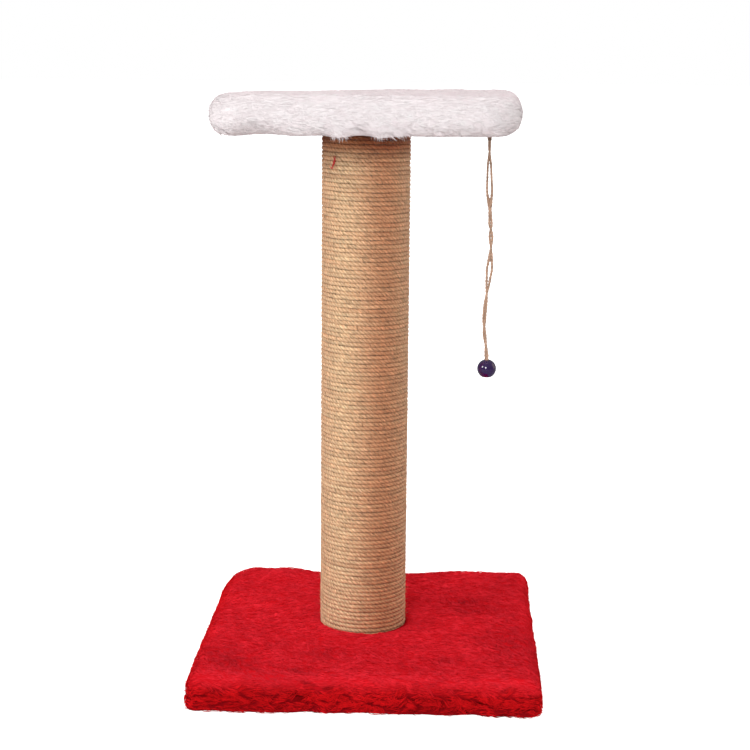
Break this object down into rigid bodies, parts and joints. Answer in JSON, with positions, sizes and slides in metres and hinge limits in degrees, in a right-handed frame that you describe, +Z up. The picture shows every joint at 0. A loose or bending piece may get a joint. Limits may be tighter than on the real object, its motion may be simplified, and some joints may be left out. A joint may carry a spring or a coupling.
{
  "type": "cat scratcher with perch",
  "caption": "Cat scratching post: square plush base, rope-wound post, square plush perch on top and a bead toy that hangs on twine under the perch.",
  "frame": {"origin": "on the floor, under the middle of the square base", "axes": "+Z up, the front of the picture faces -Y, the toy hangs on the +X side"},
  "size_m": [0.322, 0.322, 0.541],
  "materials": {
    "chipboard": "raw chipboard",
    "red_plush": "long pile plush",
    "white_plush": "long pile plush",
    "steel": "zinc plated",
    "plug_wood": "raw softwood",
    "cardboard": "raw cardboard",
    "jute": "twisted jute",
    "bead_lacquer": "gloss lacquer"
  },
  "bodies": {
    "stand": {"base_board": "chipboard", "perch_board": "chipboard", "base_cover": "red_plush", "perch_cover": "white_plush", "base_staples": "steel", "perch_staples": "steel", "base_bolt": "steel", "perch_bolt": "steel", "base_washer": "steel", "perch_washer": "steel", "lower_tee_nut": "steel", "upper_tee_nut": "steel", "lower_nails": "steel", "upper_nails": "steel", "lower_plug": "plug_wood", "upper_plug": "plug_wood", "post_tube": "cardboard", "rope_lower_turns": "jute", "rope_sleeve": "jute", "rope_upper_turns": "jute", "toy_eye": "steel"},
    "toy_tie": {"toy_bight": "jute", "toy_top_knot": "jute"},
    "toy_line": {"toy_cord": "jute", "toy_low_knot": "jute"},
    "toy_ball": {"toy_bead": "bead_lacquer"}
  },
  "joints": [
    {"name": "toy_sway", "type": "hinge", "parent": "stand", "child": "toy_tie", "pos_m": [0.1062, 0, 0.5045], "axis": [0, 1, 0], "range_deg": [-70, 16.5]},
    {"name": "toy_swing", "type": "hinge", "parent": "toy_tie", "child": "toy_line", "pos_m": [0.1062, 0, 0.4985], "axis": [1, 0, 0], "range_deg": [-70, 70]},
    {"name": "bead_spin", "type": "hinge", "parent": "toy_line", "child": "toy_ball", "pos_m": [0.108, 0, 0.28296], "axis": [0, 0, 1], "continuous": true}
  ]
}
